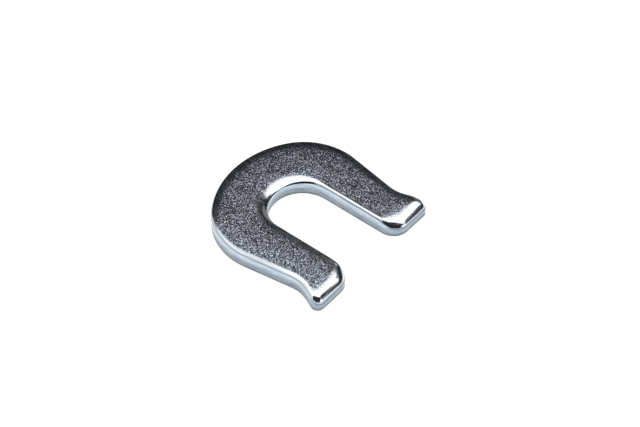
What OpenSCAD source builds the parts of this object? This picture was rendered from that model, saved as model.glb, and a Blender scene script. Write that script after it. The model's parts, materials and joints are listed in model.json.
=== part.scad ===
// Slide-on retaining clip: one U-shaped blank punched from thick sheet steel.
// The bow is a three-centred arch, the two legs narrow to a waist and flare at
// their tips, and the slot between them ends in a true half circle. The upper
// edge is rolled all round, and more so at the tips.
// Frame: origin on the slot end's axis at the underside, +X out of the slot's
// mouth, +Y across the legs, +Z up through the sheet. Millimetres and degrees.

/* [Sheet] */
// Thickness of the sheet
sheet_t = 3; // [2.4:0.1:4]
// Radius of the rolled upper edge along the bow and the legs
roll_r = 0.7; // [0.4:0.05:0.9]
// Radius of the rolled upper edge at the tips
tip_roll_r = 1.9; // [1:0.1:2.2]
// Length of each tip that has the full tip radius
tip_full_len = 1; // [0.5:0.1:2]
// Length over which the one radius grows into the other
tip_blend_len = 3; // [2:0.1:5]

/* [Slot] */
// Width of the slot between the legs
slot_w = 11; // [9:0.1:13]

/* [Bow] */
// Width of the sheet at the crown of the bow
crown_w = 8.6; // [7.5:0.1:10]
// Outer radius of the crown
crown_r = 16.2; // [15:0.1:18]
// Half of the angle that the crown's radius spans
crown_angle = 34; // [25:1:40]
// Outer radius of each shoulder
shoulder_r = 11.1; // [10.5:0.1:12]

/* [Legs] */
// Angle at which each leg's outer edge narrows towards its waist
taper_angle = 9; // [5:0.5:10]
// Length of the straight outer edge from shoulder to waist
taper_len = 8.5; // [7:0.1:11]
// Radius of the hollow that flares the outer edge
flare_r = 5.8; // [5:0.1:9]
// Outward angle of the flared edge
flare_angle = 25; // [15:1:28]
// Length of the straight flared edge
flare_len = 1.8; // [1:0.1:3]
// Radius of each tip's outer corner
outer_corner_r = 1.2; // [1:0.1:1.6]
// Radius of each tip's inner corner, which leads into the slot
inner_corner_r = 2.9; // [2:0.1:3.2]

/* [Hidden] */
$fn = 96;

// The blank stands this far into the slot before the slot is cut true.
slot_skim = 0.05;
cut_margin = 1;
roll_steps = 5;
// A roll never reaches further across a corner than this part of its radius.
roll_reach_part = 0.85;

// Half of the outline is a path that starts at the crown and keeps the metal on
// its right. A stretch is [length, 0, steps] for a straight and [radius, turn,
// steps] for an arc, where a turn below 0 is convex and one above 0 is hollow.
// The outer side and the inner side of a leg have the same number of steps, so
// that rungs can join them.
outer_path = [
    [crown_r, -crown_angle, 6],
    [shoulder_r, crown_angle - 90 - taper_angle, 12],
    [taper_len, 0, 5],
    [flare_r, taper_angle + flare_angle, 6],
    [flare_len, 0, 3],
    [outer_corner_r, -90 - flare_angle, 10]
];
crown_pose = [-slot_w / 2 - crown_w, 0, 90];
tip_pose = walk(crown_pose, outer_path, len(outer_path));
tip_x = tip_pose[0];
blank_slot_r = slot_w / 2 - slot_skim;
end_path = [[tip_pose[1] - blank_slot_r - inner_corner_r, 0, 1]];
inner_path = [
    [inner_corner_r, -90, 10],
    [tip_x - inner_corner_r, 0, 14],
    [blank_slot_r, 90, 18]
];
side_steps = sum_steps(outer_path, len(outer_path));

// A pose is [x, y, heading]. Where a stretch of the path leads from a pose.
function advance(pose, size, turn) =
    let (x = pose[0], y = pose[1], h = pose[2], side = sign(turn))
    turn == 0
        ? [x + size * cos(h), y + size * sin(h), h]
        : [
            x + side * size * (sin(h + turn) - sin(h)),
            y + side * size * (cos(h) - cos(h + turn)),
            h + turn
        ];

// The pose after the first count stretches of a path.
function walk(pose, stretches, count) =
    count == 0
        ? pose
        : let (before = walk(pose, stretches, count - 1), last = stretches[count - 1])
          advance(before, last[0], last[1]);

// The pose a part of the way along one stretch.
function along(pose, stretch, part) =
    part == 0
        ? pose
        : stretch[1] == 0
            ? advance(pose, part * stretch[0], 0)
            : advance(pose, stretch[0], part * stretch[1]);

function sum_steps(stretches, count) =
    count == 0 ? 0 : sum_steps(stretches, count - 1) + stretches[count - 1][2];

// Poses at every step of a path, without its last one.
function path_poses(start, stretches) = [
    for (i = [0 : len(stretches) - 1])
        for (k = [0 : stretches[i][2] - 1])
            along(walk(start, stretches, i), stretches[i], k / stretches[i][2])
];

// The roll's radius grows along each tip, with an even start and finish.
function roll_depth(x) =
    let (
        far = (x - tip_x + tip_full_len + tip_blend_len) / tip_blend_len,
        part = max(0, min(1, far))
    )
    roll_r + (tip_roll_r - roll_r) * part * part * (3 - 2 * part);

// How far in a roll of this depth reaches beside a corner of this radius.
function roll_reach(depth, corner_r) = min(depth, roll_reach_part * corner_r);

// Half of one ring round the blank, at an angle up the roll: its height, and its
// place inside the edge. The foot of the roll is at 0 and the top at 90.
function roll_point(pose, corner_r, angle) =
    let (
        depth = roll_depth(pose[0]),
        inset = roll_reach(depth, corner_r) * (1 - cos(angle))
    )
    [
        pose[0] + inset * sin(pose[2]),
        pose[1] - inset * cos(pose[2]),
        sheet_t - depth * (1 - sin(angle))
    ];

end_pose = walk(tip_pose, end_path, 1);
slot_pose = [-blank_slot_r, 0, -90];
outer_poses = concat(path_poses(crown_pose, outer_path), [tip_pose]);
inner_poses = concat(path_poses(end_pose, inner_path), [slot_pose]);

function half_ring(angle) = concat(
    [for (p = outer_poses) roll_point(p, outer_corner_r, angle)],
    [for (p = inner_poses) roll_point(p, inner_corner_r, angle)]
);

// A whole ring: one half, then its mirror image without the two shared points.
function whole_ring(half) = concat(
    half,
    [for (i = [len(half) - 2 : -1 : 1]) [half[i][0], -half[i][1], half[i][2]]]
);

function flattened(ring) = [for (p = ring) [p[0], p[1], 0]];

foot_ring = whole_ring(half_ring(0));
rings = concat(
    [flattened(foot_ring)],
    [for (k = [0 : roll_steps]) whole_ring(half_ring(90 * k / roll_steps))]
);
slot_index = 2 * side_steps + 1;
ring_count = 2 * slot_index;

// Rungs across one leg make the flat faces, and the other leg mirrors them.
function leg_face(i) = [i, i + 1, slot_index - i - 1, slot_index - i];

function mirror_face(face) = [
    for (i = [3 : -1 : 0]) (ring_count - face[i]) % ring_count
];

flat_faces = concat(
    [for (i = [0 : side_steps - 1]) leg_face(i)],
    [for (i = [0 : side_steps - 1]) mirror_face(leg_face(i))]
);

function turned_over(face) = [for (i = [3 : -1 : 0]) face[i]];

function lifted(face, level) = [for (i = face) i + level * ring_count];

side_faces = [
    for (level = [0 : len(rings) - 2])
        for (i = [0 : ring_count - 1])
            let (j = (i + 1) % ring_count, low = level * ring_count)
            [low + i, low + j, low + ring_count + j, low + ring_count + i]
];

// The punched blank with its rolled upper edge.
module blank() {
    polyhedron(
        points = [for (ring = rings) each ring],
        faces = concat(
            [for (face = flat_faces) turned_over(face)],
            side_faces,
            [for (face = flat_faces) lifted(face, len(rings) - 1)]
        )
    );
}

// The slot as a true cutter: a round end and parallel walls out past the tips.
module slot_cutter() {
    translate([0, 0, -cut_margin]) {
        cylinder(r = slot_w / 2, h = sheet_t + 2 * cut_margin);
        translate([0, -slot_w / 2, 0])
            cube([tip_x + cut_margin, slot_w, sheet_t + 2 * cut_margin]);
    }
}

module u_clip() {
    color("silver")
        difference() {
            blank();
            slot_cutter();
        }
}

u_clip();
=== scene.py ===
"""A zinc-plated steel U-clip, punched from sheet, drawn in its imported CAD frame. Lengths are metres."""
import json
import math
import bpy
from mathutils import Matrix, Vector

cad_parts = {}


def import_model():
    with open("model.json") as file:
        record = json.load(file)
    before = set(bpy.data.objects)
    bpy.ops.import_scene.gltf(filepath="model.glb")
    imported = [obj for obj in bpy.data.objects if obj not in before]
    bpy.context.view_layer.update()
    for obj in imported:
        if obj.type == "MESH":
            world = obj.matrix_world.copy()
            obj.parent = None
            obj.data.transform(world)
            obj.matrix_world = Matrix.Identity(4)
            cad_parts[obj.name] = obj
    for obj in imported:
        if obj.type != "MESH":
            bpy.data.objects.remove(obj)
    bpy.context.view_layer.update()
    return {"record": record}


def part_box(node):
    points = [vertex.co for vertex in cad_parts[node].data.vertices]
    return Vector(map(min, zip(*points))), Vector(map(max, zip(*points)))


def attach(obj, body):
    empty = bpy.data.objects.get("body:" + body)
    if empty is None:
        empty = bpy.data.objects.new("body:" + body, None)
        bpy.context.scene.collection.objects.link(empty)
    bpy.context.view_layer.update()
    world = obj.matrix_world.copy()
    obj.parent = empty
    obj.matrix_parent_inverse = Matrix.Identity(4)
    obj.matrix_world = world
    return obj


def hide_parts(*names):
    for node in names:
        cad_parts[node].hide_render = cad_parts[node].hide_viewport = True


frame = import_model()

from types import SimpleNamespace

import bpy
import numpy as np
from mathutils import Quaternion, Vector, noise
from mathutils.geometry import delaunay_2d_cdt

MM = 0.001
CLIP_LOW, CLIP_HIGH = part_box("u_clip")
SLOT_MOUNT = next(m for m in frame["record"]["mounts"] if m["name"] == "slot_end")

# ---- The clip's outline: the frame's own sizes, and the arcs that join them ----
SHEET_T = CLIP_HIGH.z
TIP_X = CLIP_HIGH.x
CROWN_X = CLIP_LOW.x
SLOT_R = SLOT_MOUNT["dims"]["r_mm"] * MM
CROWN_R = 16.2 * MM
CROWN_TURN = math.radians(34)
SHOULDER_R = 11.1 * MM
TAPER_TURN = math.radians(9)
TAPER_LEN = 8.5 * MM
FLARE_R = 5.8 * MM
FLARE_TURN = math.radians(25)
FLARE_LEN = 1.8 * MM
OUTER_CORNER_R = 1.2 * MM
INNER_CORNER_R = 2.9 * MM
OUTLINE_PITCH = 0.14 * MM
# Points this close to a line of the outline count as on it
SNAP = 0.01 * MM

# ---- The punched edge, from the underside up ----
BURR_R = 0.12 * MM
BURR_RINGS = 4
# The torn band's height, its most as a part of the wall, and how far it stands back
FRACTURE_TOP = 1.3 * MM
FRACTURE_PART = 0.55
FRACTURE_STEP = 0.03 * MM
# The band's upper line wanders, in long waves and in half as strong short ones
FRACTURE_WANDER = 0.12 * MM
LONG_WAVE = 1.6 * MM
SHORT_WAVE = 0.6 * MM
# How uneven the torn surface is, as a part of its step, and over what length
TORN_UNEVEN = 0.25
TORN_WAVE = 0.5 * MM
# Height of the small ledge between the torn band and the smooth wall
LEDGE = 0.06 * MM
WALL_RINGS = 14

# ---- The roll that the punch leaves round the upper face: its depth, its reach inward and its power ----
FRONT_ROLL = (0.7 * MM, 0.75 * MM, 2.0)
BACK_ROLL = (0.7 * MM, 0.55 * MM, 2.0)
SLOT_ROLL = (0.7 * MM, 0.38 * MM, 2.0)
ARC_ROLL = (0.8 * MM, 1.95 * MM, 2.0)
TIP_ROLL = (1.8 * MM, 2.5 * MM, 2.0)
FAR_CORNER_ROLL = (1.7 * MM, 1.8 * MM, 1.7)
NEAR_CORNER_ROLL = (2.05 * MM, 1.9 * MM, 1.9)
# The outline runs at this heading where its edge faces most towards the back
BACK_HEADING = math.radians(39)
BACK_FADE = (-0.3, 0.2)
# A leg's end has one roll up to this Y and its outer corner's roll past it. Each starts this far before
# the end, and is full from the given part of that distance
TIP_SPLIT_Y = SLOT_R + 2.5 * MM
TIP_FROM = 3.0 * MM
FAR_CORNER_FROM = 3.0 * MM
NEAR_CORNER_FROM = 2.0 * MM
TIP_FULL_PART = 0.3
# How far the sizes of the roll are averaged along the outline
ROLL_BLEND = 0.6 * MM
# Rings follow the roll inward this far, then one more ring joins it to the face
RING_REACH = 0.5 * MM
RING_LAST = 0.57 * MM
ROLL_RINGS = 14
# The rings, counted from the roll's foot, where burnished metal starts and is full, and where a line of
# painted shade lies: a dark reflection painted along the roll's foot
BURNISH_FROM = 6
BURNISH_FULL = 9
SHADE_LINE_RING = 4
SHADE_LINE_RINGS = 2
# The face's inset is true near the edge, and further in a kernel takes its creases out
KERNEL_POWER = 3
KERNEL_LINE = 2.0
TRUE_TO = 0.4 * MM
SMOOTH_FROM = 1.2 * MM

# ---- The upper face and the underside ----
TOP_PITCH = 0.15 * MM
LOW_PITCH = 3 * TOP_PITCH
GRID_MARGIN = 0.6
# The sheet is drawn down near its edges, and most where the roll is wide
DISH = 0.05 * MM
DISH_SIGMA = 1.2 * MM
DISH_LEAST = 0.4
TOP_WAVE = 0.010 * MM
TOP_WAVE_LEN = 3.5 * MM
TOP_WAVE_FADE = (0.2 * MM, 2 * MM)
UPPER_PART = 0.4
LOW_HOLLOW = 0.01 * MM
LOW_WAVE_LEN = 4 * MM
LOW_HOLLOW_FADE = 2 * MM

# ---- Where the zinc is grained, and where it is bright ----
# The grain starts some way in from the edge and fades in, both further where the roll is wide
GRAIN_FROM = 0.1 * MM
GRAIN_FROM_REACH = 0.35
GRAIN_FADE = 0.3 * MM
GRAIN_FADE_REACH = 0.5
# Edges that face the back have a smooth band of this width more
POLISH = 0.55 * MM
LOW_GRAIN = (0.3 * MM, 1.2 * MM)
# The bow's rolled edge is darkened by painted shade up to the first X, which dims its highlight, and the
# legs' is clear of it from the second
UNSHADED_FROM = 2 * MM
UNSHADED_FULL = 11 * MM

# ---- The zinc's texture sizes, colours and roughness ----
GRAIN_SIZE = 0.125 * MM
GRAIN_HEIGHT = 0.006 * MM
FACET_TILT = 0.18
CRYSTAL_DULL = 0.25
CLOUD_SIZE = 4 * MM
TINT_SIZE = 1.1 * MM
TINT_STRENGTH = 0.5
FINE_SIZE = 0.2 * MM
STREAK_SIZE = 0.24 * MM
STREAK_STRETCH = (0.1, 1.0, 1.0)
STREAK_DEPTH = 0.002 * MM
# Most of a noise lies between these values
NOISE_SPAN = (0.3, 0.7)
# The line of painted shade along the roll's foot is fainter where the streaks are at the first of these
# values, and darkest from the second
SHADE_LINE_SPAN = (0.35, 0.55)
SHADE_LINE_STRENGTH = (0.3, 0.9)
FACE_DEEP = (0.60, 0.64, 0.75, 1)
FACE_PALE = (0.66, 0.72, 0.85, 1)
FACE_GREY = (0.54, 0.57, 0.60, 1)
CRYSTAL_DARK = (0.02, 0.02, 0.03, 1)
# The smooth wall's colours low and high, and the heights between which it changes: burnished metal higher up,
# and painted shade lower down, the floor's shadow by the clip as the wall reflects it
LOW_WALL = ((0.17, 0.22, 0.28, 1), (0.46, 0.54, 0.62, 1))
HIGH_WALL = ((0.36, 0.44, 0.51, 1), (0.68, 0.76, 0.84, 1))
HIGH_WALL_FROM = (1.2 * MM, 2.2 * MM)
# The rolled edge's colour where painted shade darkens it on the bow, and its own colour elsewhere
ROLL_PAINTED_SHADE = (0.47, 0.50, 0.54, 1)
ROLL_CLEAR_OF_SHADE = (0.74, 0.77, 0.80, 1)
# The colour of the line of painted shade along the roll's foot
SHADE_LINE_DARK = (0.08, 0.10, 0.12, 1)
TORN = ((0.20, 0.245, 0.29, 1), (0.38, 0.43, 0.48, 1))
# Painted shade at the torn band's foot, where the clip meets the floor, and the heights over which it fades
# out
TORN_FOOT_SHADE = (0.10, 0.11, 0.13, 1)
TORN_FOOT_SHADE_FADE = (0.1 * MM, 0.5 * MM)
FACE_ROUGHNESS = (0.20, 0.27)
EDGE_ROUGHNESS = (0.10, 0.22)
TORN_ROUGHNESS = 0.42

# ---- The camera, and the lights placed round it ----
CAMERA_AZIMUTH = 39.36
CAMERA_ELEVATION = 47.04
CAMERA_DISTANCE = 0.44
CAMERA_AIM = Vector((1.4507, 2.6271, 0)) * MM
CAMERA_CLIP_START = 0.01
SENSOR_WIDTH = 36
LENS = 154.9
# The overhead box: its height, its left end, and the elevations at which its other ends are seen
OVERHEAD_HEIGHT = 0.8
OVERHEAD_LEFT = 0.95
OVERHEAD_RIGHT = 47
OVERHEAD_NEAR = 58
OVERHEAD_FAR = 55
OVERHEAD_RADIANCE = 1.5
# The box on the left stands upright: azimuth from the camera, distance, height, sizes and radiance
LEFT_BOX = SimpleNamespace(turn=-85.5, distance=0.9, up=0.5, width=1.48, height=1.1, radiance=0.95)
# Panels that face the clip: name, azimuth from the camera, elevation, distance, width, height,
# radiance and roll
AIMED_PANELS = (
    ("right_strip", 63, 8, 0.9, 0.46, 0.25, 1.6, 0),
    ("right_box", 81, 45, 0.9, 0.62, 0.54, 1.6, 25),
    ("grey_card", 160, 15, 1.2, 0.7, 0.8, 0.2, 0),
)
FLOOR_HALF = 3.0
FLOOR_GREY = 0.5
FLOOR_ROUGHNESS = 0.9
FLOOR_GLOW = 0.72
SURROUNDINGS = (0.02, 0.0206, 0.024, 1)
BACKDROP = (0.92, 0.93, 0.95, 1)


# ---- Outline ----
def arc(radius, turn):
    """A round stretch of the outline, as its length and its curvature."""
    return radius * abs(turn), math.copysign(1 / radius, turn)


def straight(length):
    """A straight stretch of the outline."""
    return length, 0.0


def walk(x, y, heading, stretches, pitch):
    """Rows of x, y and heading at even steps along the stretches, up to and with the last point."""
    rows = []
    for length, curvature in stretches:
        steps = max(2, round(length / pitch))
        for s in np.arange(steps + 1) * length / steps:
            turned = heading + curvature * s
            if curvature:
                rows.append((x + (math.sin(turned) - math.sin(heading)) / curvature,
                             y + (math.cos(heading) - math.cos(turned)) / curvature, turned))
            else:
                rows.append((x + s * math.cos(heading), y + s * math.sin(heading), heading))
        x, y, heading = rows.pop()
    return rows + [(x, y, heading)]


def clip_outline():
    """The closed outline, clockwise with the metal on the right: its points and its headings."""
    quarter = math.radians(90)
    outer = [arc(CROWN_R, -CROWN_TURN),
             arc(SHOULDER_R, CROWN_TURN - quarter - TAPER_TURN),
             straight(TAPER_LEN),
             arc(FLARE_R, TAPER_TURN + FLARE_TURN),
             straight(FLARE_LEN),
             arc(OUTER_CORNER_R, -quarter - FLARE_TURN)]
    corner_y = walk(CROWN_X, 0, quarter, outer, OUTLINE_PITCH)[-1][1]
    inner = [straight(corner_y - SLOT_R - INNER_CORNER_R),
             arc(INNER_CORNER_R, -quarter),
             straight(TIP_X - INNER_CORNER_R),
             arc(SLOT_R, quarter)]
    half = np.array(walk(CROWN_X, 0, quarter, outer + inner, OUTLINE_PITCH))
    mirrored = half[-2:0:-1] * (1, -1, -1) + (0, 0, math.pi)
    ring = np.vstack([half, mirrored])
    ring[:, 1] *= CLIP_HIGH.y / ring[:, 1].max()
    return ring[:, :2], ring[:, 2]


def step_lengths(points):
    """The share of the outline that each of its points stands for."""
    ahead = np.linalg.norm(np.roll(points, -1, 0) - points, axis=1)
    return (ahead + np.roll(ahead, 1)) / 2


def smoothed(values, steps, width):
    """Values along the closed outline, averaged over about the given width."""
    along = np.cumsum(steps)
    total = along[-1]
    apart = np.abs(along[:, None] - along[None, :])
    apart = np.minimum(apart, total - apart)
    weights = np.exp(-0.5 * (apart / width) ** 2) * steps[None, :]
    return weights @ values / weights.sum(1)


def ramp(value, low, high):
    """0 below low, 1 above high and a smooth rise between."""
    part = np.clip((value - low) / (high - low), 0, 1)
    return part * part * (3 - 2 * part)


def on_slot_end(points):
    """True on the half circle that ends the slot."""
    return (points[:, 0] < SNAP) & (np.linalg.norm(points, axis=1) < SLOT_R + SNAP)


def on_slot(points):
    """True on the slot's end and on its two straight sides."""
    return (points[:, 0] > -SLOT_R - SNAP) & (np.abs(points[:, 1]) < SLOT_R + SNAP)


def between(low, high, part):
    """Rows that go from one roll to another, point by point."""
    return low + (np.array(high) - low) * part[:, None]


def roll_sizes(outline, headings, steps):
    """Each outline point's roll: its depth, reach and power, the width of its polish, and how far its rolled
    edge is clear of painted shade.
    """
    x, y = outline[:, 0], np.abs(outline[:, 1])
    far = outline[:, 1] > 0
    at_back = ramp(np.cos(headings - BACK_HEADING), *BACK_FADE)
    bow = between(np.array(FRONT_ROLL), BACK_ROLL, at_back)
    sizes = np.where(on_slot(outline)[:, None], SLOT_ROLL, bow)
    sizes = between(sizes, ARC_ROLL, on_slot_end(outline) * ramp(-x, 0, SLOT_R))

    outward = ramp(y, SLOT_R + 0.5 * INNER_CORNER_R, CLIP_HIGH.y - 0.5 * OUTER_CORNER_R)
    corner = np.where(far[:, None], FAR_CORNER_ROLL, NEAR_CORNER_ROLL)
    tip = between(np.array(TIP_ROLL), corner, outward)
    start = np.where(y < TIP_SPLIT_Y, TIP_FROM, np.where(far, FAR_CORNER_FROM, NEAR_CORNER_FROM))
    sizes = between(sizes, tip, ramp(x, TIP_X - start, TIP_X - TIP_FULL_PART * start))

    # Painted shade on the bow's rolled edge, fading out along X towards the legs; none on the slot
    roll_unshaded = np.where(on_slot(outline), 1, ramp(x, UNSHADED_FROM, UNSHADED_FULL))
    columns = [*sizes.T, POLISH * at_back, roll_unshaded]
    return np.column_stack([smoothed(column, steps, ROLL_BLEND) for column in columns])


# ---- Surface ----
def rolled(inset, sizes):
    """How far the face is below the sheet's own level at an inset: a quarter of a superellipse."""
    depth, reach, power, _, _ = sizes.T
    part = np.clip(1 - inset / reach, 0, 1)
    return depth * (1 - (1 - part ** power) ** (1 / power))


def in_turns(work, points):
    """What work makes of the points, done some at a time to save memory."""
    at_once = 2000
    return np.concatenate([work(points[first:first + at_once]) for first in range(0, len(points), at_once)])


def distance_in(points, outline):
    """How far each point is from the outline."""
    side = np.roll(outline, -1, 0) - outline

    def nearest(some):
        apart = some[:, None, :] - outline[None, :, :]
        along = np.clip((apart * side).sum(2) / (side ** 2).sum(1), 0, 1)
        return np.sqrt(((apart - along[:, :, None] * side) ** 2).sum(2).min(1))

    return in_turns(nearest, points)


def squares_apart(points, outline):
    """The squared distance from each point to each point of the outline."""
    return ((points[:, None, :] - outline[None, :, :]) ** 2).sum(2)


def roll_field(points, outline, steps, sizes):
    """The inset and the roll's sizes at points of the face, all free of creases."""

    def blend(some):
        pull = steps * (squares_apart(some, outline) / MM ** 2) ** (-KERNEL_POWER / 2) / MM
        total = pull.sum(1)
        inset = (total / KERNEL_LINE) ** (-1 / (KERNEL_POWER - 1)) * MM
        return np.column_stack([inset, pull @ sizes / total[:, None]])

    blended = in_turns(blend, points)
    true_inset = distance_in(points, outline)
    smooth_part = ramp(true_inset, TRUE_TO, SMOOTH_FROM)
    return true_inset + (blended[:, 0] - true_inset) * smooth_part, blended[:, 1:]


def dish(points, outline, steps, reach):
    """How far the sheet itself is drawn down near its edges."""
    weight = DISH * (reach / MM + DISH_LEAST) * steps / (DISH_SIGMA * math.sqrt(2 * math.pi))

    def drawn(some):
        return np.exp(-0.5 * squares_apart(some, outline) / DISH_SIGMA ** 2) @ weight

    return in_turns(drawn, points)


def wave(points, length, seed):
    """Smooth noise between about -1 and 1 over plan points. Each seed gives a noise of its own."""
    return np.array([noise.noise(Vector((x / length, y / length, seed))) for x, y in points])


def inside(points, ring):
    """True where a point is inside the closed ring."""
    ax, ay = ring[:, 0], ring[:, 1]
    bx, by = np.roll(ax, -1), np.roll(ay, -1)

    def crossed(some):
        x, y = some[:, :1], some[:, 1:]
        spans = (ay > y) != (by > y)
        with np.errstate(divide="ignore", invalid="ignore"):
            cross = ax + (y - ay) * (bx - ax) / (by - ay)
        return (spans & (x < cross)).sum(1) % 2 == 1

    return in_turns(crossed, points)


def face_grid(ring, pitch):
    """Points at the corners of even triangles that fill the ring, a little way in from it."""
    low, high = ring.min(0), ring.max(0)
    row_pitch = pitch * math.sqrt(3) / 2
    rows = []
    for i, y in enumerate(np.arange(low[1], high[1], row_pitch)):
        xs = np.arange(low[0] + (i % 2) * pitch / 2, high[0], pitch)
        rows.append(np.column_stack([xs, np.full(len(xs), y)]))
    points = np.vstack(rows)
    points = points[inside(points, ring)]
    return points[distance_in(points, ring) > GRID_MARGIN * pitch]


def fill(ring, grid):
    """Triangles that join the ring's points and then the grid's, by their numbers in that order."""
    inside_only, closeness = 1, 1e-7
    everything = [Vector(p) for p in np.vstack([ring, grid]) / MM]
    count = len(ring)
    edges = [(i, (i + 1) % count) for i in range(count)]
    _, _, faces, sources, _, _ = delaunay_2d_cdt(everything, edges, [], inside_only, closeness)
    return [tuple(sources[v][0] for v in face) for face in faces]


def edge_rings(outline, headings, sizes):
    """The rings of the wall and the roll, from the foot up, how torn and burnished each is, and how far each
    lies in the line of painted shade along the roll's foot.
    """
    inward = np.column_stack([np.sin(headings), -np.cos(headings)])
    wall_top = SHEET_T - sizes[:, 0]
    wander = wave(outline, LONG_WAVE, 3.1) + 0.5 * wave(outline, SHORT_WAVE, 7.7)
    break_z = np.minimum(FRACTURE_TOP + FRACTURE_WANDER * wander, FRACTURE_PART * wall_top)
    quarter = math.radians(90)
    rings, marks = [], []

    def add(inset, z, torn=0.0, burnished=0.0, on_shade_line=0.0):
        plan = outline + inward * np.reshape(inset, (-1, 1))
        rings.append(np.column_stack([plan, z * np.ones(len(outline))]))
        marks.append((torn, burnished, on_shade_line))

    for part in range(BURR_RINGS):
        angle = quarter * part / BURR_RINGS
        add(FRACTURE_STEP + BURR_R * (1 - math.sin(angle)), BURR_R * (1 - math.cos(angle)), torn=1.0)
    half = WALL_RINGS // 2
    for part in range(half + 1):
        uneven = TORN_UNEVEN * wave(outline, TORN_WAVE, 11.0 + 1.7 * part) * (0 < part < half)
        add(FRACTURE_STEP * (1 + uneven), BURR_R + (break_z - BURR_R) * part / half, torn=1.0)
    for part in range(half + 1):
        start = break_z + LEDGE
        add(0.0, start + (wall_top - start) * part / half)
    # The roll's rings; the lowest few carry the line of painted shade along the roll's foot
    for part in range(1, ROLL_RINGS + 1):
        inset = np.minimum(sizes[:, 1], RING_REACH) * (1 - math.cos(quarter * part / ROLL_RINGS))
        add(inset, SHEET_T - rolled(inset, sizes),
            burnished=ramp(part, BURNISH_FROM, BURNISH_FULL),
            on_shade_line=max(0, 1 - abs(part - SHADE_LINE_RING) / SHADE_LINE_RINGS))
    add(RING_LAST, SHEET_T - rolled(RING_LAST, sizes), burnished=1.0)
    return rings, marks


def clip_points(rings, top_grid, top_drop, low_grid, outline, steps, reach):
    """All the mesh's points: the rings, then the upper face, then the underside."""
    low_z = LOW_HOLLOW * (1 + wave(low_grid, LOW_WAVE_LEN, 20.0))
    low_z *= ramp(distance_in(low_grid, outline), 0, LOW_HOLLOW_FADE)
    top, low = np.column_stack([top_grid, SHEET_T - top_drop]), np.column_stack([low_grid, low_z])
    points = np.vstack(rings + [top, low])
    plan = points[:, :2]
    share = points[:, 2] / SHEET_T
    off_edge = ramp(distance_in(plan, outline), *TOP_WAVE_FADE)
    dents = TOP_WAVE * (wave(plan, TOP_WAVE_LEN, 1.0) - 1) * off_edge
    points[:, 2] += dents * (share > UPPER_PART) - dish(plan, outline, steps, reach) * share
    return points


def clip_faces(rings, top_grid, low_grid):
    """The quads between the rings, and the triangles of the upper face and the underside."""
    count = len(rings[0])
    last = (len(rings) - 1) * count
    top_first = len(rings) * count
    low_first = top_first + len(top_grid)
    faces = []
    for first in range(0, last, count):
        for j in range(count):
            k = (j + 1) % count
            faces.append((first + j, first + count + j, first + count + k, first + k))
    faces += [tuple(last + v if v < count else top_first + v - count for v in face)
              for face in fill(rings[-1][:, :2], top_grid)]
    faces += [tuple(v if v < count else low_first + v - count for v in reversed(face))
              for face in fill(rings[0][:, :2], low_grid)]
    return faces


def edge_map(mesh, steps, count, ring_count):
    """A map of the length along the outline and the height on the edge, and of X and Y on the faces."""
    along = np.concatenate([[0], np.cumsum(steps)])
    layer = mesh.uv_layers.new(name="edge_run")
    for polygon in mesh.polygons:
        corners = list(polygon.vertices)
        on_edge = max(corners) < ring_count * count
        wraps = on_edge and {v % count for v in corners} >= {0, count - 1}
        for loop, v in zip(polygon.loop_indices, corners):
            place = mesh.vertices[v].co
            if on_edge:
                j = v % count
                u = along[-1] if wraps and j == 0 else along[j]
                layer.data[loop].uv = (u, place.z)
            else:
                layer.data[loop].uv = (place.x, place.y)


def clip_mesh():
    """The whole clip as one closed mesh, with the attributes and the map that its material reads."""
    outline, headings = clip_outline()
    steps = step_lengths(outline)
    sizes = roll_sizes(outline, headings, steps)
    rings, marks = edge_rings(outline, headings, sizes)
    top_grid = face_grid(rings[-1][:, :2], TOP_PITCH)
    low_grid = face_grid(rings[0][:, :2], LOW_PITCH)
    top_inset, top_sizes = roll_field(top_grid, outline, steps, sizes)
    top_drop = rolled(top_inset, top_sizes)
    points = clip_points(rings, top_grid, top_drop, low_grid, outline, steps, sizes[:, 1])

    mesh = bpy.data.meshes.new("clip_body")
    mesh.from_pydata(points.tolist(), [], clip_faces(rings, top_grid, low_grid))
    mesh.validate()

    _, reach, _, polish, roll_unshaded = top_sizes.T
    grain_from = GRAIN_FROM + GRAIN_FROM_REACH * reach + polish
    grain_full = grain_from + GRAIN_FADE + GRAIN_FADE_REACH * reach + polish
    low_grain = ramp(distance_in(low_grid, outline), *LOW_GRAIN)
    torn, burnished, on_shade_line = np.repeat(marks, len(outline), axis=0).T
    off_edge = np.zeros(len(top_grid) + len(low_grid))
    attributes = {
        "grain": (np.zeros(len(torn)), ramp(top_inset, grain_from, grain_full), low_grain),
        "fracture": (torn, off_edge),
        "burnish": (burnished, off_edge + 1),
        # How far each rolled edge is clear of the painted shade on the bow
        "roll_unshaded": (np.tile(sizes[:, 4], len(rings)), roll_unshaded, np.ones(len(low_grid))),
        # Where the line of painted shade runs along the roll's foot
        "shade_line": (on_shade_line, off_edge),
    }
    for name, stretches in attributes.items():
        values = np.concatenate(stretches).astype(np.float32)
        mesh.attributes.new(name, "FLOAT", "POINT").data.foreach_set("value", values)
    edge_map(mesh, steps, len(outline), len(rings))
    mesh.shade_smooth()
    return mesh


# ---- Shader nodes ----
def feed(tree, socket, value):
    """Set a socket, or link it where the value is itself a socket."""
    if isinstance(value, bpy.types.NodeSocket):
        tree.links.new(value, socket)
    else:
        socket.default_value = value


def node(tree, kind, **inputs):
    """A shader node with some of its sockets fed."""
    made = tree.nodes.new(kind)
    for name, value in inputs.items():
        feed(tree, made.inputs[name.replace("_", " ")], value)
    return made


def attribute(tree, name):
    """One of the mesh's own attributes."""
    made = tree.nodes.new("ShaderNodeAttribute")
    made.attribute_name = name
    return made.outputs["Fac"]


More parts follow.
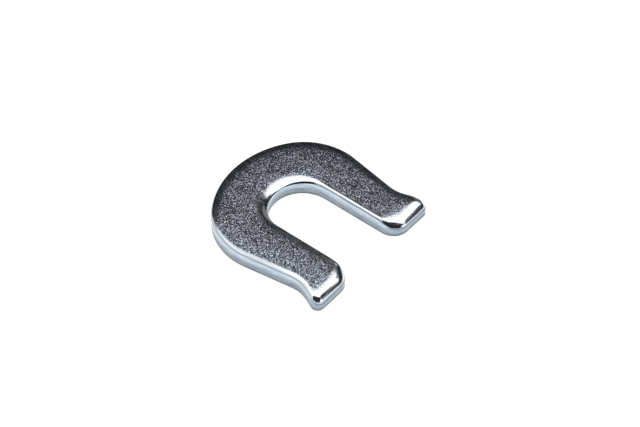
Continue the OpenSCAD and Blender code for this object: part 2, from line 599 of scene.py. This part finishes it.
def mix(tree, factor, low, high, kind="Color"):
    """What lies between two colours, or two numbers where kind is Float."""
    made = tree.nodes.new("ShaderNodeMix")
    made.data_type = "RGBA" if kind == "Color" else "FLOAT"
    sockets = {s.identifier: s for s in [*made.inputs, *made.outputs]}
    feed(tree, sockets["Factor_Float"], factor)
    feed(tree, sockets["A_" + kind], low)
    feed(tree, sockets["B_" + kind], high)
    return sockets["Result_" + kind]


def map_range(tree, value, low, high, out_low, out_high):
    """A value mapped from low..high to out_low..out_high."""
    made = node(tree, "ShaderNodeMapRange", Value=value,
                From_Min=low, From_Max=high, To_Min=out_low, To_Max=out_high)
    return made.outputs["Result"]


def times(tree, a, b):
    """The product of two sockets or numbers."""
    made = tree.nodes.new("ShaderNodeMath")
    made.operation = "MULTIPLY"
    feed(tree, made.inputs[0], a)
    feed(tree, made.inputs[1], b)
    return made.outputs[0]


def vector_math(tree, operation, first, second=None, scale=None):
    """The result of a vector operation on one or two vectors."""
    made = tree.nodes.new("ShaderNodeVectorMath")
    made.operation = operation
    feed(tree, made.inputs[0], first)
    if second is not None:
        feed(tree, made.inputs[1], second)
    if scale is not None:
        feed(tree, made.inputs["Scale"], scale)
    return made.outputs["Vector"]


def noise_value(tree, vector, size, detail=2.0):
    """Noise whose features are about size metres across."""
    return node(tree, "ShaderNodeTexNoise", Vector=vector, Scale=1 / size, Detail=detail).outputs["Fac"]


def bump(tree, height, distance, normal):
    """A normal with a height pressed into it."""
    return node(tree, "ShaderNodeBump", Height=height, Distance=distance, Normal=normal).outputs["Normal"]


# ---- Zinc ----
def zinc_sources(tree):
    """The attributes, noises and places that the zinc is made from."""
    place = tree.nodes.new("ShaderNodeTexCoord").outputs["Object"]
    run = tree.nodes.new("ShaderNodeUVMap")
    run.uv_map = "edge_run"
    stretched = node(tree, "ShaderNodeMapping", Vector=run.outputs["UV"], Scale=STREAK_STRETCH)
    return SimpleNamespace(
        grain=attribute(tree, "grain"),
        fracture=attribute(tree, "fracture"),
        burnish=attribute(tree, "burnish"),
        roll_unshaded=attribute(tree, "roll_unshaded"),
        shade_line=attribute(tree, "shade_line"),
        height=node(tree, "ShaderNodeSeparateXYZ", Vector=place).outputs["Z"],
        cloud=noise_value(tree, place, CLOUD_SIZE),
        tint=noise_value(tree, place, TINT_SIZE),
        fine=noise_value(tree, place, FINE_SIZE, detail=1.0),
        facet=node(tree, "ShaderNodeTexVoronoi", Vector=place, Scale=1 / GRAIN_SIZE).outputs["Color"],
        streak=noise_value(tree, stretched.outputs["Vector"], STREAK_SIZE, detail=4.0))


def face_colour(tree, zinc):
    """The flat faces: blue-grey zinc in soft clouds."""
    clouded = mix(tree, zinc.cloud, FACE_DEEP, FACE_PALE)
    return mix(tree, times(tree, zinc.tint, TINT_STRENGTH), clouded, FACE_GREY)


def wall_colour(tree, zinc, streaks):
    """The smooth wall, streaked, darker towards its foot and paler towards its top, and the rolled edge above
    it, darkened on the bow by painted shade.
    """
    # Darker towards the wall's foot: painted shade of the shadowed floor near the clip, with paler burnished
    # metal towards the top
    upper = map_range(tree, zinc.height, *HIGH_WALL_FROM, 0, 1)
    wall = mix(tree, upper, mix(tree, streaks, *LOW_WALL), mix(tree, streaks, *HIGH_WALL))
    # On the bow the rolled edge takes a darker colour: painted shade that dims its highlight
    return mix(tree, zinc.burnish, wall, mix(tree, zinc.roll_unshaded, ROLL_PAINTED_SHADE, ROLL_CLEAR_OF_SHADE))


def torn_colour(tree, zinc, streaks):
    """The torn band, darkened at its foot by painted shade where the clip meets the floor."""
    above_foot_shade = map_range(tree, zinc.height, *TORN_FOOT_SHADE_FADE, 0, 1)
    return mix(tree, above_foot_shade, TORN_FOOT_SHADE, mix(tree, streaks, *TORN))


def crystal_shade(tree, zinc):
    """1 on smooth metal, and on the grain a brightness of its own for each crystal."""
    own = node(tree, "ShaderNodeSeparateXYZ", Vector=zinc.facet).outputs["X"]
    return map_range(tree, zinc.grain, 0, 1, 1, map_range(tree, own, 0, 1, CRYSTAL_DULL, 1))


def zinc_colour(tree, zinc):
    """The colour of every part of the clip."""
    streaks = map_range(tree, zinc.streak, *NOISE_SPAN, 0, 1)
    metal = mix(tree, zinc.grain, wall_colour(tree, zinc, streaks), face_colour(tree, zinc))
    metal = mix(tree, crystal_shade(tree, zinc), CRYSTAL_DARK, metal)
    # A dark line of painted shade along the roll's foot, patchy with the streaks
    shade_line_depth = map_range(tree, zinc.streak, *SHADE_LINE_SPAN, *SHADE_LINE_STRENGTH)
    metal = mix(tree, times(tree, zinc.shade_line, shade_line_depth), metal, SHADE_LINE_DARK)
    return mix(tree, zinc.fracture, metal, torn_colour(tree, zinc, streaks))


def zinc_roughness(tree, zinc):
    """Satin on the grain, glossy on the walls and the roll, and dull where the steel is torn."""
    face = map_range(tree, zinc.tint, *NOISE_SPAN, *FACE_ROUGHNESS)
    edge = map_range(tree, zinc.streak, *NOISE_SPAN, *EDGE_ROUGHNESS)
    plated = mix(tree, zinc.grain, edge, face, kind="Float")
    return map_range(tree, zinc.fracture, 0, 1, plated, TORN_ROUGHNESS)


def zinc_normal(tree, zinc):
    """The surface normal, tipped a different way on each crystal, with fine grain and streaks over it."""
    shift = vector_math(tree, "SUBTRACT", zinc.facet, (0.5, 0.5, 0.5))
    shift = vector_math(tree, "SCALE", shift, scale=times(tree, zinc.grain, FACET_TILT))
    normal = tree.nodes.new("ShaderNodeNewGeometry").outputs["Normal"]
    tilted = vector_math(tree, "NORMALIZE", vector_math(tree, "ADD", normal, shift))
    grained = bump(tree, times(tree, zinc.fine, zinc.grain), GRAIN_HEIGHT, tilted)
    return bump(tree, zinc.streak, STREAK_DEPTH, grained)


def zinc_material():
    """Bright zinc over punched steel: grained faces, burnished roll and upper wall, and a torn band below,
    with painted shade low on the walls, along the roll's foot and on the bow's roll.
    """
    material = bpy.data.materials.new("zinc_plate")
    material.use_nodes = True
    tree = material.node_tree
    tree.nodes.clear()
    zinc = zinc_sources(tree)
    shader = node(tree, "ShaderNodeBsdfPrincipled", Metallic=1.0, Base_Color=zinc_colour(tree, zinc),
                  Roughness=zinc_roughness(tree, zinc), Normal=zinc_normal(tree, zinc))
    node(tree, "ShaderNodeOutputMaterial", Surface=shader.outputs["BSDF"])
    return material


# ---- Studio ----
def direction(azimuth, elevation):
    """The way out from the object at an azimuth (0 is -Y, 90 is +X) and an elevation in degrees."""
    a, e = math.radians(azimuth), math.radians(elevation)
    return Vector((math.sin(a) * math.cos(e), -math.cos(a) * math.cos(e), math.sin(e)))


def add_panel(name, place, facing, width, height, radiance, roll=0.0):
    """A flat softbox centred on place, whose lit side faces along facing, rolled by some degrees."""
    light = bpy.data.lights.new(name, "AREA")
    light.shape = "RECTANGLE"
    light.size = width
    light.size_y = height
    light.energy = radiance * math.pi * width * height
    lamp = bpy.data.objects.new(name, light)
    lamp.location = place
    lamp.rotation_mode = "QUATERNION"
    lamp.rotation_quaternion = (-facing).to_track_quat("Z", "Y") @ Quaternion((0, 0, 1), math.radians(roll))
    bpy.context.scene.collection.objects.link(lamp)
    return lamp


def overhead_box():
    """A wide softbox flat above the clip, squared to the camera."""
    right = direction(CAMERA_AZIMUTH + 90, 0)
    away = direction(CAMERA_AZIMUTH + 180, 0)
    up = Vector((0, 0, 1))

    def reach(elevation):
        return OVERHEAD_HEIGHT / math.tan(math.radians(elevation))

    left_end, right_end = -OVERHEAD_LEFT, reach(OVERHEAD_RIGHT)
    near_end, far_end = -reach(OVERHEAD_NEAR), reach(OVERHEAD_FAR)
    middle = right * (left_end + right_end) / 2 + away * (near_end + far_end) / 2 + up * OVERHEAD_HEIGHT
    width, depth = right_end - left_end, far_end - near_end
    box = add_panel("overhead_box", middle, -up, width, depth, OVERHEAD_RADIANCE)
    box.rotation_mode = "XYZ"
    box.rotation_euler = (0, 0, math.radians(CAMERA_AZIMUTH))


def left_box():
    """A large upright softbox on the camera's left."""
    side = direction(CAMERA_AZIMUTH + LEFT_BOX.turn, 0)
    place = side * LEFT_BOX.distance + Vector((0, 0, LEFT_BOX.up))
    add_panel("left_box", place, -side, LEFT_BOX.width, LEFT_BOX.height, LEFT_BOX.radiance)


def studio_lights():
    """Softboxes overhead and on the left, a strip and a tilted box on the right, and a grey card behind."""
    overhead_box()
    left_box()
    for name, turn, elevation, distance, width, height, radiance, roll in AIMED_PANELS:
        out = direction(CAMERA_AZIMUTH + turn, elevation)
        add_panel(name, out * distance, -out, width, height, radiance, roll)


def world():
    """Dark grey surroundings in reflections, and a pale backdrop where the camera looks past the floor."""
    made = bpy.data.worlds.new("studio")
    made.use_nodes = True
    tree = made.node_tree
    tree.nodes.clear()
    seen = tree.nodes.new("ShaderNodeLightPath").outputs["Is Camera Ray"]
    back = node(tree, "ShaderNodeBackground", Color=mix(tree, seen, SURROUNDINGS, BACKDROP))
    node(tree, "ShaderNodeOutputWorld", Surface=back.outputs["Background"])
    bpy.context.scene.world = made


def floor():
    """A plain white table that glows a little, so that it photographs white."""
    mesh = bpy.data.meshes.new("floor")
    h = FLOOR_HALF
    mesh.from_pydata([(-h, -h, 0), (h, -h, 0), (h, h, 0), (-h, h, 0)], [], [(0, 1, 2, 3)])
    material = bpy.data.materials.new("white_table")
    material.use_nodes = True
    shader = material.node_tree.nodes["Principled BSDF"]
    shader.inputs["Base Color"].default_value = (FLOOR_GREY, FLOOR_GREY, FLOOR_GREY, 1)
    shader.inputs["Roughness"].default_value = FLOOR_ROUGHNESS
    shader.inputs["Emission Color"].default_value = (1, 1, 1, 1)
    shader.inputs["Emission Strength"].default_value = FLOOR_GLOW
    mesh.materials.append(material)
    made = bpy.data.objects.new("floor", mesh)
    bpy.context.scene.collection.objects.link(made)


def camera():
    """The photograph's view: from the front right, looking down."""
    data = bpy.data.cameras.new("camera")
    data.sensor_width = SENSOR_WIDTH
    data.lens = LENS
    data.clip_start = CAMERA_CLIP_START
    made = bpy.data.objects.new("camera", data)
    made.location = CAMERA_AIM + direction(CAMERA_AZIMUTH, CAMERA_ELEVATION) * CAMERA_DISTANCE
    made.rotation_euler = (math.radians(90 - CAMERA_ELEVATION), 0, math.radians(CAMERA_AZIMUTH))
    bpy.context.scene.collection.objects.link(made)
    bpy.context.scene.camera = made


clip = bpy.data.objects.new("clip_body", clip_mesh())
clip.data.materials.append(zinc_material())
bpy.context.scene.collection.objects.link(clip)
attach(clip, "root")
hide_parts("u_clip")

camera()
studio_lights()
world()
floor()
bpy.context.scene.view_settings.view_transform = "Standard"
